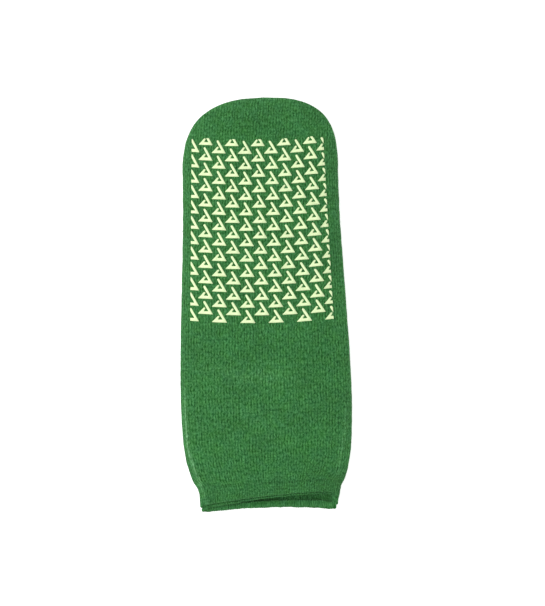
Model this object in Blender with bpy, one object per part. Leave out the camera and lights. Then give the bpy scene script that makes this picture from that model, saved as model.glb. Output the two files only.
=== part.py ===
"""Slipper sock with grip marks on both faces, lying flat, empty and unfolded.

A knitted tube without a heel pocket: toe, foot and leg are one run of knitting, flattened by its
own weight. The toe points to +Y, the floor is z = 0, and the origin is under the middle.
"""

import math
from collections import namedtuple

import bmesh
import bpy

MM = 0.001

# Driving sizes of the flattened tube, in metres
LENGTH = 266 * MM
FOOT_WIDTH = 100 * MM
LEG_WIDTH = 110 * MM
CUFF_WIDTH = 89 * MM
FOOT_HEIGHT = 15 * MM
LEG_HEIGHT = 13.5 * MM
CUFF_HEIGHT = 11.5 * MM
WALL = 2 * MM

# The side fold, where the upper and the lower layer meet
FOLD_HEIGHT = 3.2 * MM
FLAT_SHARE = 0.8  # of the half width, that lies flat underneath

# The toe's plan, crown and underside each round off over their own reach
TOE_REACH = 53 * MM
CROWN_REACH = 60 * MM
KEEL_REACH = 10 * MM
SPRING_REACH = 45 * MM
TOE_SPRING = 1.5 * MM
TOE_LEAN = 2.5 * MM  # by which the toe tip lies to the right of the foot's middle

# The turned hem at the mouth
WELT_LENGTH = 13.5 * MM
WELT_PROUD = 0.5 * MM
WELT_WALL = 2.6 * MM
WELT_STEP = 1.2 * MM  # length over which the wall thickens
RIM_ROUND = 0.8 * MM
MOUTH_STEP = 7.5 * MM  # by which the upper layer stops short of the lower one
MOUTH_SLANT = 2.4 * MM  # more of that step at the right fold, and less at the left one
MOUTH_BOW = 2 * MM  # by which the middle of both layers stops short of the folds
MOUTH_REACH = 40 * MM
FOLD_TURN = 4.0  # how soon above the fold the upper layer is drawn back all the way

# The printed grip marks
GRIP_COLUMNS = 11
GRIP_ROWS = 12
GRIP_ROW_PITCH = 9.7 * MM
GRIP_HEIGHT = 0.9 * MM
GRIP_GAP = 0.3 * MM
PRINT_SIDE_MARGIN = 5.5 * MM
EDGE_CUT = 0.7  # of a column, that the two sides of the print cut off together
PRINT_EDGE_LEAST = 4 * MM
TOP_PRINT_FROM_TOE = 25.8 * MM
FLOOR_PRINT_FROM_TOE = 35 * MM
STANDOFF_FALL = 26 * MM  # length over which the knitting comes down to the floor

# The toe's closing seam, on the face that lies down
SEAM_INSET = 5 * MM
SEAM_END = 34 * MM
SEAM_WIDTH = 2.4 * MM
SEAM_HEIGHT = 1.2 * MM
SEAM_GAP = 0.3 * MM

# How finely the knitting is faceted
TOP_STEPS = 20
ARC_STEPS = 4
FLAT_STEPS = 4
TOE_STEPS = 9
FALL_STEPS = 4
SPACING_LEAST = 3 * MM
SEAM_STEPS = 26

# Each row is a section of the tube. along: its place, as a share of the length from the toe tip.
# leg: how far it has gone from the foot's width and height to the leg's. cuff: how far it has
# gone from there to the cuff's.
Section = namedtuple("Section", "along leg cuff")
SECTIONS = (
    Section(0.000, 0.00, 0.00),
    Section(0.200, 0.00, 0.00),
    Section(0.270, 0.00, 0.00),
    Section(0.340, 0.05, 0.00),
    Section(0.400, 0.17, 0.00),
    Section(0.460, 0.35, 0.00),
    Section(0.520, 0.60, 0.00),
    Section(0.680, 1.00, 0.00),
    Section(0.760, 1.00, 0.02),
    Section(0.820, 1.00, 0.08),
    Section(0.866, 1.00, 0.20),
    Section(0.900, 1.00, 0.38),
    Section(0.927, 1.00, 0.60),
    Section(0.942, 1.00, 0.84),
    Section(0.958, 1.00, 0.98),
    Section(1.000, 1.00, 1.00),
)

# One grip mark, an open hooked triangle with its base toward the leg. across: share of the
# column pitch from the middle of its cell. along: share of the row pitch from its base. The
# right leg runs on to the next mark's base, so that a column is one piece.
MarkPoint = namedtuple("MarkPoint", "across along")
MARK_RIGHT = (
    MarkPoint(0.50, 0.00),
    MarkPoint(0.06, 1.00),
)
MARK_LEFT = (
    MarkPoint(-0.50, 0.00),
    MarkPoint(-0.04, 0.41),
    MarkPoint(-0.14, 0.19),
    MarkPoint(0.15, 0.19),
    MarkPoint(-0.10, 1.00),
)
MARK_TIP = 0.79  # share of the row pitch at which the last whole mark of a column ends

# The half-round section of the seam. across: share of its half width. drop: share of its height.
SeamPoint = namedtuple("SeamPoint", "across drop")
SEAM_PROFILE = (
    SeamPoint(-1.00, 0.00),
    SeamPoint(0.00, 0.00),
    SeamPoint(1.00, 0.00),
    SeamPoint(0.72, 0.80),
    SeamPoint(0.00, 1.00),
    SeamPoint(-0.72, 0.80),
)
SEAM_END_SHARE = 0.45  # of the seam's section that is left at its two ends

TOE_SHARPNESS, TOE_FULLNESS = 3.2, 2.5
CROWN_SHARPNESS, CROWN_FULLNESS = 2.0, 1.7
KEEL_SHARPNESS, KEEL_FULLNESS = 2.0, 2.0
TOP_SQUARENESS = 3.0

KNIT_GREEN = (0.047, 0.184, 0.053, 1.0)
SEAM_GREEN = (0.030, 0.140, 0.038, 1.0)
GRIP_YELLOW = (0.838, 0.965, 0.553, 1.0)


def remove_everything():
    for thing in list(bpy.data.objects):
        bpy.data.objects.remove(thing, do_unlink=True)


def make_material(name, colour, roughness):
    material = bpy.data.materials.new(name)
    material.use_nodes = True
    shader = material.node_tree.nodes["Principled BSDF"]
    shader.inputs["Base Color"].default_value = colour
    shader.inputs["Roughness"].default_value = roughness
    shader.inputs["Metallic"].default_value = 0.0
    return material


def add_object(name, bm, material, smooth_angle):
    """Turn a closed bmesh into a named object with faces pointing out."""
    bmesh.ops.recalc_face_normals(bm, faces=bm.faces)
    mesh = bpy.data.meshes.new(name)
    bm.to_mesh(mesh)
    bm.free()
    mesh.materials.append(material)
    mesh.shade_smooth()
    mesh.set_sharp_from_angle(angle=smooth_angle)
    thing = bpy.data.objects.new(name, mesh)
    bpy.context.scene.collection.objects.link(thing)
    return thing


def slopes(column):
    """Slopes that keep a curve through the sections from overshooting them."""
    places = [row.along for row in SECTIONS]
    values = [getattr(row, column) for row in SECTIONS]
    steps = [
        (values[i + 1] - values[i]) / (places[i + 1] - places[i])
        for i in range(len(places) - 1)
    ]
    inner = [
        0.0 if before * after <= 0.0 else 2.0 * before * after / (before + after)
        for before, after in zip(steps, steps[1:])
    ]
    return [0.0] + inner + [0.0]


SLOPES = {column: slopes(column) for column in ("leg", "cuff")}


def read_section(column, from_toe):
    """A column of the sections at a distance from the toe tip, on a smooth curve."""
    along = min(max(from_toe / LENGTH, 0.0), 1.0)
    index = 0
    while index < len(SECTIONS) - 2 and along > SECTIONS[index + 1].along:
        index += 1
    low, high = SECTIONS[index], SECTIONS[index + 1]
    span = high.along - low.along
    t = (along - low.along) / span
    start, end = getattr(low, column), getattr(high, column)
    leave, arrive = SLOPES[column][index] * span, SLOPES[column][index + 1] * span
    return (
        start * (2 * t**3 - 3 * t**2 + 1)
        + leave * (t**3 - 2 * t**2 + t)
        + end * (3 * t**2 - 2 * t**3)
        + arrive * (t**3 - t**2)
    )


def blend(foot, leg, cuff, from_toe):
    above = foot + (leg - foot) * read_section("leg", from_toe)
    return above + (cuff - above) * read_section("cuff", from_toe)


def print_end(first_row):
    """Distance from the toe tip of a print's last base line."""
    return first_row + (GRIP_ROWS + 0.5) * GRIP_ROW_PITCH


def standoff(from_toe):
    """How far the knitting lies off the floor: on its grips at the foot, on itself at the leg."""
    past = from_toe - print_end(FLOOR_PRINT_FROM_TOE)
    t = min(max(past / STANDOFF_FALL, 0.0), 1.0)
    return (GRIP_GAP + GRIP_HEIGHT) * (1.0 - t * t * (3.0 - 2.0 * t))


def rounding(from_tip, reach, sharpness, fullness):
    """0 at a tip, rising to 1 at its reach along a quarter of a superellipse."""
    left = min(max(1.0 - from_tip / reach, 0.0), 1.0)
    return (1.0 - left**sharpness) ** (1.0 / fullness)


# half: half width. fold: height of the side fold. rise and drop: how far the crown lies above
# the fold and the underside below it.
Shape = namedtuple("Shape", "half fold rise drop")


def shape_at(from_toe, inset=0.0, proud=0.0):
    """The tube's section, moved in from its outer skin by inset, or out of it by proud."""
    from_tip = from_toe - inset
    width = blend(FOOT_WIDTH, LEG_WIDTH, CUFF_WIDTH, from_toe)
    height = blend(FOOT_HEIGHT, LEG_HEIGHT, CUFF_HEIGHT, from_toe)
    spring = TOE_SPRING * max(0.0, 1.0 - from_toe / SPRING_REACH) ** 2
    plan = rounding(from_tip, TOE_REACH - inset, TOE_SHARPNESS, TOE_FULLNESS)
    crown = rounding(from_tip, CROWN_REACH - inset, CROWN_SHARPNESS, CROWN_FULLNESS)
    keel = rounding(from_tip, KEEL_REACH - inset, KEEL_SHARPNESS, KEEL_FULLNESS)
    return Shape(
        half=(width / 2 - inset + proud) * plan,
        fold=standoff(from_toe) + spring + FOLD_HEIGHT,
        rise=(height - FOLD_HEIGHT - inset + proud) * crown,
        drop=(FOLD_HEIGHT - inset) * keel,
    )


def middle_at(from_toe):
    """Where the middle of a section lies across, because the toe leans to the right."""
    return TOE_LEAN * max(0.0, 1.0 - from_toe / TOE_REACH) ** 2


def top_height(x, from_toe):
    """Height of the knitting's upper skin."""
    shape = shape_at(from_toe)
    share = min(abs(x - middle_at(from_toe)) / shape.half, 1.0)
    return shape.fold + shape.rise * math.sqrt(1.0 - share**TOP_SQUARENESS)


def under_height(x, from_toe):
    """Height of the knitting's lower skin."""
    shape = shape_at(from_toe)
    share = min(abs(x - middle_at(from_toe)) / shape.half, 1.0)
    past_flat = max(0.0, share - FLAT_SHARE) / (1.0 - FLAT_SHARE)
    return shape.fold - shape.drop * math.sqrt(1.0 - past_flat**2)


def ring_points(from_toe, inset=0.0, proud=0.0):
    """One loop round the tube: over the top from +X to -X, and back underneath."""
    shape = shape_at(from_toe, inset, proud)
    points = []
    for step in range(TOP_STEPS):
        angle = math.pi * step / TOP_STEPS
        reach = abs(math.cos(angle)) ** (2.0 / TOP_SQUARENESS)
        x = shape.half * math.copysign(reach, math.cos(angle))
        points.append((x, shape.fold + shape.rise * math.sin(angle)))
    flat = shape.half * FLAT_SHARE
    for step in range(ARC_STEPS):
        angle = math.pi / 2 * step / ARC_STEPS
        x = -flat - (shape.half - flat) * math.cos(angle)
        points.append((x, shape.fold - shape.drop * math.sin(angle)))
    for step in range(FLAT_STEPS):
        x = -flat + 2 * flat * step / FLAT_STEPS
        points.append((x, shape.fold - shape.drop))
    for step in range(ARC_STEPS):
        angle = math.pi / 2 * (1 - step / ARC_STEPS)
        x = flat + (shape.half - flat) * math.cos(angle)
        points.append((x, shape.fold - shape.drop * math.sin(angle)))
    return place_points(points, from_toe, shape)


def place_points(points, from_toe, shape):
    """Put a loop in its place, with the upper layer drawn back toward the toe at the mouth."""
    ramp = max(0.0, 1.0 - (LENGTH - from_toe) / MOUTH_REACH) ** 2
    placed = []
    for x, z in points:
        above = min(max(0.0, z - shape.fold) / shape.rise, 1.0)
        share = x / shape.half
        step = (MOUTH_STEP + MOUTH_SLANT * share) * (1.0 - (1.0 - above) ** FOLD_TURN)
        y = LENGTH / 2 - from_toe + ramp * (step + MOUTH_BOW * (1.0 - share**2))
        placed.append((x + middle_at(from_toe), y, z))
    return placed


def toe_places(inset):
    """Distances from the toe tip, close together where the toe is round."""
    reach = TOE_REACH - inset
    return [
        inset + reach * (1.0 - math.cos(math.pi / 2 * step / TOE_STEPS))
        for step in range(1, TOE_STEPS)
    ]


def body_places():
    """Distances from the toe tip of the sections between the toe and the welt."""
    fall_start = print_end(FLOOR_PRINT_FROM_TOE)
    falls = [fall_start + STANDOFF_FALL * step / FALL_STEPS for step in range(FALL_STEPS + 1)]
    rows = [row.along * LENGTH for row in SECTIONS]
    last = LENGTH - WELT_LENGTH - WELT_STEP - SPACING_LEAST
    places = [TOE_REACH]
    for place in sorted(rows + falls):
        if places[-1] + SPACING_LEAST <= place <= last:
            places.append(place)
    return places


def knit_rings():
    """Every loop of the tube's skin, down the outside to the mouth and back up the inside."""
    welt_start = LENGTH - WELT_LENGTH
    inner_welt = WELT_WALL - WELT_PROUD
    outer = [ring_points(place) for place in toe_places(0.0) + body_places()]
    outer.append(ring_points(welt_start - WELT_STEP))
    outer.append(ring_points(welt_start, proud=WELT_PROUD))
    outer.append(ring_points(LENGTH - RIM_ROUND, proud=WELT_PROUD))
    outer.append(ring_points(LENGTH, inset=RIM_ROUND / 2))
    inner = [ring_points(place, inset=WALL) for place in toe_places(WALL) + body_places()]
    inner.append(ring_points(welt_start - WELT_STEP, inset=WALL))
    inner.append(ring_points(welt_start, inset=inner_welt))
    inner.append(ring_points(LENGTH - RIM_ROUND, inset=inner_welt))
    inner.append(ring_points(LENGTH, inset=inner_welt - RIM_ROUND / 2))
    return outer + inner[::-1]


def toe_tip(inset):
    shape = shape_at(inset, inset)
    return (middle_at(inset), LENGTH / 2 - inset, shape.fold)


def build_knit_tube(material):
    """Toe, foot, leg and welt as one hollow solid, open at the mouth."""
    bm = bmesh.new()
    loops = [[bm.verts.new(point) for point in ring] for ring in knit_rings()]
    count = len(loops[0])
    for before, after in zip(loops, loops[1:]):
        for i in range(count):
            j = (i + 1) % count
            bm.faces.new((before[i], before[j], after[j], after[i]))
    for tip, loop in ((toe_tip(0.0), loops[0]), (toe_tip(WALL), loops[-1])):
        middle = bm.verts.new(tip)
        for i in range(count):
            bm.faces.new((middle, loop[i], loop[(i + 1) % count]))
    return add_object("knit_tube", bm, material, math.radians(50))


def column_outline(first_base, rows, print_edge, cell_left, cell_right):
    """Plan of one column of joined marks, as (x, distance from the toe tip), cut off at the edge."""
    middle, width = (cell_left + cell_right) / 2, cell_right - cell_left
    rises = [(row, point) for row in range(rows) for point in MARK_RIGHT]
    falls = [(row, point) for row in range(rows) for point in MARK_LEFT][::-1]
    outline = []
    for row, point in rises + falls:
        along = point.along
        if row == rows - 1 and along > MARK_TIP:
            along = MARK_TIP
        from_toe = max(first_base - (row + along) * GRIP_ROW_PITCH, print_edge)
        outline.append((middle + point.across * width, from_toe))
    return outline


def print_half_width():
    return FOOT_WIDTH / 2 - PRINT_SIDE_MARGIN


def fit_across(x, from_toe):
    """Draw the print in where the toe is narrower than it."""
    room = shape_at(from_toe).half - PRINT_EDGE_LEAST
    return middle_at(from_toe) + x * min(1.0, room / print_half_width())


def build_grips(face, first_row, height_of, outward, material):
    """One printed face: columns of marks, of which every second one starts with half a mark."""
    half = print_half_width()
    pitch = 2 * half / (GRIP_COLUMNS - EDGE_CUT)
    for column in range(GRIP_COLUMNS):
        middle = (column - (GRIP_COLUMNS - 1) / 2) * pitch
        cell_left = max(middle - pitch / 2, -half)
        cell_right = min(middle + pitch / 2, half)
        first_base, rows = print_end(first_row), GRIP_ROWS + 1
        if column % 2 == 0:
            first_base, rows = first_base - GRIP_ROW_PITCH / 2, GRIP_ROWS
        bm = bmesh.new()
        inner, outer = [], []
        for x, from_toe in column_outline(first_base, rows, first_row, cell_left, cell_right):
            x = fit_across(x, from_toe)
            y = LENGTH / 2 - from_toe
            skin = height_of(x, from_toe)
            inner.append(bm.verts.new((x, y, skin + outward * GRIP_GAP)))
            outer.append(bm.verts.new((x, y, skin + outward * (GRIP_GAP + GRIP_HEIGHT))))
        bm.faces.new(inner[::-1])
        bm.faces.new(outer)
        for i in range(len(inner)):
            j = (i + 1) % len(inner)
            bm.faces.new((inner[i], inner[j], outer[j], outer[i]))
        name = "grip_{}_{:02d}".format(face, column + 1)
        add_object(name, bm, material, math.radians(30))


def seam_path():
    """Plan of the seam, at a steady distance inside the toe's outline."""
    reach = TOE_REACH - SEAM_INSET
    left = 1.0 - (SEAM_END - SEAM_INSET) / reach
    last = math.acos(left ** (TOE_SHARPNESS / 2.0))
    half = FOOT_WIDTH / 2 - SEAM_INSET
    path = []
    for step in range(SEAM_STEPS + 1):
        angle = last * (2 * step / SEAM_STEPS - 1)
        across = half * math.copysign(abs(math.sin(angle)) ** (2.0 / TOE_FULLNESS), angle)
        from_tip = reach * (1.0 - math.cos(angle) ** (2.0 / TOE_SHARPNESS))
        path.append((across + middle_at(SEAM_INSET + from_tip), SEAM_INSET + from_tip))
    return path


def build_toe_seam(material):
    """The linked row that closes the toe, a half-round ridge under the knitting."""
    path = seam_path()
    bm = bmesh.new()
    loops = []
    for index, (x, from_toe) in enumerate(path):
        before, after = path[max(index - 1, 0)], path[min(index + 1, len(path) - 1)]
        run_x, run_y = after[0] - before[0], before[1] - after[1]
        run = math.hypot(run_x, run_y)
        share = SEAM_END_SHARE if index in (0, len(path) - 1) else 1.0
        loop = []
        for point in SEAM_PROFILE:
            across = point.across * share * SEAM_WIDTH / 2
            px = x - across * run_y / run
            p_toe = from_toe - across * run_x / run
            z = under_height(px, p_toe) - SEAM_GAP - point.drop * share * SEAM_HEIGHT
            loop.append(bm.verts.new((px, LENGTH / 2 - p_toe, z)))
        loops.append(loop)
    count = len(SEAM_PROFILE)
    for before, after in zip(loops, loops[1:]):
        for i in range(count):
            j = (i + 1) % count
            bm.faces.new((before[i], before[j], after[j], after[i]))
    bm.faces.new(loops[0])
    bm.faces.new(loops[-1][::-1])
    return add_object("toe_seam", bm, material, math.radians(50))


def main():
    remove_everything()
    knit = make_material("knitted_terry", KNIT_GREEN, 0.95)
    seam = make_material("linked_seam_yarn", SEAM_GREEN, 0.95)
    grip = make_material("cured_plastisol", GRIP_YELLOW, 0.45)
    build_knit_tube(knit)
    build_toe_seam(seam)
    build_grips("top", TOP_PRINT_FROM_TOE, top_height, 1.0, grip)
    build_grips("floor", FLOOR_PRINT_FROM_TOE, under_height, -1.0, grip)


main()
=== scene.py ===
"""Slipper sock, lying flat and empty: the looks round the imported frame.

Terry knit with its smooth side out, an elastic hem at the mouth, cured grip marks on both faces
and a linked seam under the toe. Lengths are in metres. The toe points to +Y, the floor is z = 0.
"""

import math
from collections import namedtuple
from functools import partial

import bmesh
import bpy
import numpy as np
from bpy.props import FloatProperty, IntProperty, PointerProperty, StringProperty
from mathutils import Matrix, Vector, noise


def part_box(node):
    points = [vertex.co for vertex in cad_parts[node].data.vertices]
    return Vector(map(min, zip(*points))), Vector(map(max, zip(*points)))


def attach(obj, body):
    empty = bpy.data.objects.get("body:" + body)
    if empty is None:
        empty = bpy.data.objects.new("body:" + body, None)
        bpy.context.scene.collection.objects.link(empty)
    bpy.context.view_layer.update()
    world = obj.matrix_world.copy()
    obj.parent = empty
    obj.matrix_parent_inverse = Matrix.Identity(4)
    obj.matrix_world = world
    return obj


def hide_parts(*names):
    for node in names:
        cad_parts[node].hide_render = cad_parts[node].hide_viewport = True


bl_info = {
    "name": "Slipper Sock",
    "version": (1, 0, 0),
    "blender": (4, 5, 0),
    "location": "3D View > Sidebar > Slipper Sock",
    "description": "Knitted slipper sock with grip marks on both faces, built on a packed frame",
    "category": "Add Mesh",
}

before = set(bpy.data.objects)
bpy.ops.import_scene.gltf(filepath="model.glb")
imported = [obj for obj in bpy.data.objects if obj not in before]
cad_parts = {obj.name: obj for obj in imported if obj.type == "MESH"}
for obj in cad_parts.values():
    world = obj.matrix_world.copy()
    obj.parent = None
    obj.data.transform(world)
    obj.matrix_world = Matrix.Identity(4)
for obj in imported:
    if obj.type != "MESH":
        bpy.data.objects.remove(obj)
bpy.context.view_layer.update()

MM = 0.001
BODY = "root"
CAD_LOW, CAD_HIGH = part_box("knit_tube")
LEAST = 1e-6
WHITE = (1.0, 1.0, 1.0, 1.0)
STANDOFF = 1.2 * MM  # of the foot, which lies on its lower print
FLOOR_PRINT_END = float(CAD_HIGH[1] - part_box("grip_floor_02")[0][1])  # from the toe tip

# Each row is a section of the tube. along: its place, as a share of the length from the toe tip.
# leg: how far it has gone from the foot's width and height to the leg's. cuff: how far it has
# gone from there to the cuff's.
Section = namedtuple("Section", "along leg cuff")
SECTIONS = (
    Section(0.000, 0.00, 0.00),
    Section(0.200, 0.00, 0.00),
    Section(0.270, 0.04, 0.00),
    Section(0.340, 0.17, 0.00),
    Section(0.400, 0.32, 0.00),
    Section(0.460, 0.46, 0.00),
    Section(0.520, 0.62, 0.00),
    Section(0.600, 0.81, 0.00),
    Section(0.680, 0.95, 0.00),
    Section(0.760, 1.00, 0.02),
    Section(0.820, 1.00, 0.08),
    Section(0.866, 1.00, 0.20),
    Section(0.900, 1.00, 0.38),
    Section(0.927, 1.00, 0.60),
    Section(0.942, 1.00, 0.84),
    Section(0.958, 1.00, 0.98),
    Section(1.000, 1.00, 1.00),
)

TOE_SHARPNESS, TOE_FULLNESS = 3.2, 2.5
CROWN_SHARPNESS, CROWN_FULLNESS = 2.0, 1.7
KEEL_SHARPNESS, KEEL_FULLNESS = 2.0, 2.0
TOP_SQUARENESS = 3.0
FLAT_SHARE = 0.8  # of the half width, that lies flat underneath
CROWN_REACH = 60 * MM
KEEL_REACH = 10 * MM
SPRING_REACH = 45 * MM
TOE_SPRING = 1.5 * MM
STANDOFF_FALL = 26 * MM
MOUTH_REACH = 40 * MM
RIM_REACH = 14 * MM
TUCK_START, TUCK_REACH = 11 * MM, 6 * MM  # from the hem's end, and how far it takes
FOLD_TURN = 4.0  # how soon over the side folds the step at the mouth starts
TOP_STEPS, SIDE_STEPS = 120, 24  # of a section's outline, over the top and at each side underneath

# The upper layer's slackness: (height, width of its lumps in mm). Creases and slackness have their
# full height from this share of the way up from the side fold to the crown.
SLACKNESS = ((0.22 * MM, 17), (0.10 * MM, 6))
CREASED_FROM = 0.35

PER_WALE = 4  # points round the tube for each wale
RIB_FADE = 14 * MM  # from the toe tip, over which the ribs rise
TUBE_LAP = 2 * MM  # of the tube under the hem
UNDER_HEM = 0.6 * MM  # by which the tube lies under its skin there
WELT_DEPTH = 2.1 * MM  # of the hem's inside under the skin
RIM_OUTSIDE, RIM_INSIDE = 4.2 * MM, 9.4 * MM  # from the hem's end to where its edge starts and stops
RIPPLE_REACH = 6 * MM  # from the hem's end, over which its edge ripples

FAN_START = 70 * MM  # from the toe tip, where the print has its stated width
FAN_REACH = 100 * MM  # over which it widens by its fan
PRINT_SINK = 0.15 * MM  # of a mark into the knitting
MARK_SWAY = 0.10 * MM  # of a mark's outline
MARK_BEVEL = 0.28 * MM  # from a mark's outline to its flat top

# The hem's edge in millimetres, as (back from its end, over the skin): the outer layer turns in,
# the inner layer shows beyond a groove, and its rolled end is thicker than the rest.
WELT_RIM = (
    (-3.80, 0.50),
    (-3.25, 0.42),
    (-2.90, 0.15),
    (-2.75, -0.30),
    (-2.80, -1.30),
    (-2.50, -2.10),
    (-1.95, -2.10),
    (-1.70, -1.55),
    (-1.20, -1.35),
    (-0.55, -1.40),
    (-0.10, -1.75),
    (0.00, -2.25),
    (-0.20, -2.85),
    (-0.80, -3.40),
    (-1.80, -3.60),
    (-3.40, -3.55),
    (-4.50, -3.00),
    (-5.10, -1.90),
    (-5.90, -1.25),
    (-7.40, -1.35),
    (-8.40, -1.90),
)

SEAM_INSET = 5 * MM  # from the toe's outline
SEAM_END = 34 * MM  # from the toe tip
SEAM_STEPS, SEAM_SIDES = 90, 10  # of the ridge, along and round it
SEAM_SINK = 0.2 * MM  # of the ridge into the knitting

SENSOR_HEIGHT = 36.0  # of the camera, in millimetres

# Soft ridges and troughs that boarding and handling left in the upper layer. height: above the
# skin, or below it if less than 0. width: to where it has faded to a third. points: its line.
Crease = namedtuple("Crease", "height width points")
CREASES = (
    Crease(
        0.75, 1.2, ((-51.9, -50), (-51.9, -70), (-50.9, -92), (-47.3, -104), (-42.9, -115.5), (-38.9, -128))
    ),
    Crease(-0.55, 1.4, ((-54.2, -80), (-53.0, -95), (-49.8, -106), (-45.6, -117), (-41.4, -128))),
    Crease(0.40, 1.8, ((51.5, -62), (50.0, -82), (47.4, -98), (43.2, -116))),
    Crease(-0.35, 6.0, ((30, -76), (26, -90), (20, -99))),
    Crease(-0.25, 7.0, ((-20, -104), (2, -100), (24, -105))),
    Crease(0.20, 6.0, ((-30, -60), (-8, -72), (8, -92))),
    Crease(-0.30, 8.0, ((-34, -20), (-14, -30), (10, -28), (36, -36))),
    Crease(0.30, 7.0, ((-40, -38), (-16, -46), (20, -46))),
    Crease(-0.25, 6.0, ((38, 0), (40, -20), (36, -44))),
    Crease(-0.35, 6.5, ((-28, 109), (-4, 114), (28, 110))),
)

# One grip mark in millimetres, a hooked triangle whose two ends almost meet, with its base toward
# the leg. across: from its left tip. along: from its base toward the toe.
MarkPoint = namedtuple("MarkPoint", "across along")
MARK_OUTLINE = (
    MarkPoint(0.12, -0.02),
    MarkPoint(0.00, 0.26),
    MarkPoint(1.80, 2.10),
    MarkPoint(3.35, 3.95),
    MarkPoint(3.90, 4.28),
    MarkPoint(4.42, 4.22),
    MarkPoint(4.74, 3.86),
    MarkPoint(4.42, 3.22),
    MarkPoint(3.74, 2.16),
    MarkPoint(3.90, 1.96),
    MarkPoint(6.28, 1.96),
    MarkPoint(6.36, 2.16),
    MarkPoint(5.30, 3.80),
    MarkPoint(4.28, 5.60),
    MarkPoint(3.30, 7.55),
    MarkPoint(3.38, 8.12),
    MarkPoint(3.86, 8.42),
    MarkPoint(4.42, 8.30),
    MarkPoint(4.84, 7.85),
    MarkPoint(6.35, 5.30),
    MarkPoint(7.75, 2.75),
    MarkPoint(9.12, 0.32),
    MarkPoint(9.00, -0.03),
    MarkPoint(6.00, 0.03),
    MarkPoint(3.00, -0.03),
)
MARK_MIDDLE = 4.55  # millimetres from the mark's left tip to the middle of its cell


LengthProperty = partial(FloatProperty, unit="LENGTH")


class SockSizes(bpy.types.PropertyGroup):
    """Sizes of the flattened tube."""

    length: LengthProperty(
        name="Length",
        description="From the toe tip to the lower layer's edge",
        default=CAD_HIGH[1] - CAD_LOW[1],
    )
    foot_width: LengthProperty(name="Foot Width", description="Flat width of the foot", default=100 * MM)
    leg_width: LengthProperty(
        name="Leg Width", description="Flat width of the leg", default=CAD_HIGH[0] - CAD_LOW[0] + 0.3 * MM
    )
    cuff_width: LengthProperty(name="Cuff Width", description="Flat width of the hem", default=89 * MM)
    foot_height: LengthProperty(
        name="Foot Height", description="Thickness of the foot as it lies", default=15 * MM
    )
    leg_height: LengthProperty(
        name="Leg Height", description="Thickness of the leg as it lies", default=13.5 * MM
    )
    cuff_height: LengthProperty(
        name="Cuff Height", description="Thickness of the hem as it lies", default=11.5 * MM
    )
    fold_height: LengthProperty(
        name="Fold Height", description="Height of the side folds", default=3.2 * MM
    )
    wall: LengthProperty(name="Wall", description="Thickness of the knitting", default=2 * MM)
    toe_reach: LengthProperty(
        name="Toe Reach", description="Length over which the toe rounds off", default=53 * MM
    )
    toe_lean: LengthProperty(
        name="Toe Lean",
        description="By which the toe tip lies to the right of the foot's middle",
        default=3.2 * MM,
    )
    leg_lean: LengthProperty(
        name="Leg Lean",
        description="By which the leg lies to the right of the foot's middle",
        default=0.3 * MM,
    )
    cuff_lean: LengthProperty(
        name="Cuff Lean",
        description="By which the hem lies to the right of the leg's middle",
        default=0.8 * MM,
    )
    welt_length: LengthProperty(
        name="Hem Length", description="Length of the turned hem", default=13.5 * MM
    )
    welt_proud: LengthProperty(
        name="Hem Step", description="Height of the hem over the leg", default=0.5 * MM
    )
    mouth_step: LengthProperty(
        name="Mouth Step",
        description="By which the upper layer stops short of the lower one",
        default=6.3 * MM,
    )
    mouth_slant: LengthProperty(
        name="Mouth Slant",
        description="More of that step at the right fold, and less at the left one",
        default=4.2 * MM,
    )
    mouth_bow: LengthProperty(
        name="Mouth Bow",
        description="By which the mouth's middle lies nearer the toe than its corners",
        default=2 * MM,
    )
    lip_tuck: LengthProperty(
        name="Lip Tuck",
        description="By which the lower layer's edge is drawn in at the right fold",
        default=1.2 * MM,
    )
    rim_droop: LengthProperty(
        name="Rim Droop", description="By which the upper layer sinks at its edge", default=3.6 * MM
    )
    seam_width: LengthProperty(
        name="Seam Width", description="Width of the toe seam's ridge", default=2.4 * MM
    )
    seam_height: LengthProperty(
        name="Seam Height", description="By which the toe seam stands off", default=1.2 * MM
    )


class KnitLooks(bpy.types.PropertyGroup):
    """How the knitting is made and coloured."""

    wales: IntProperty(
        name="Wales", description="Columns of stitches round the tube", default=118, min=40, max=200
    )
    course: LengthProperty(name="Course", description="Height of a row of stitches", default=1.9 * MM)
    rib: LengthProperty(name="Rib", description="Height of a wale over its groove", default=0.26 * MM)
    yarn: StringProperty(name="Yarn", description="Yarn colour, in hex", default="#418547")
    # pit: painted shade, mixed into the colour between the knit's stitches and into the hollows of the
    # terry and the seam yarn
    pit: StringProperty(name="Pit", description="Colour between stitches, in hex", default="#0b3411")
    lint: StringProperty(name="Lint", description="Colour of loose fibres, in hex", default="#6fae70")
    fibres: IntProperty(name="Fibres", description="Loose fibres per square metre", default=110000, min=0)
    loops: IntProperty(
        name="Terry Loops", description="Loops inside per square metre", default=420000, min=0
    )
    loop_height: LengthProperty(name="Loop Height", description="Height of a terry loop", default=1.3 * MM)


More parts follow.
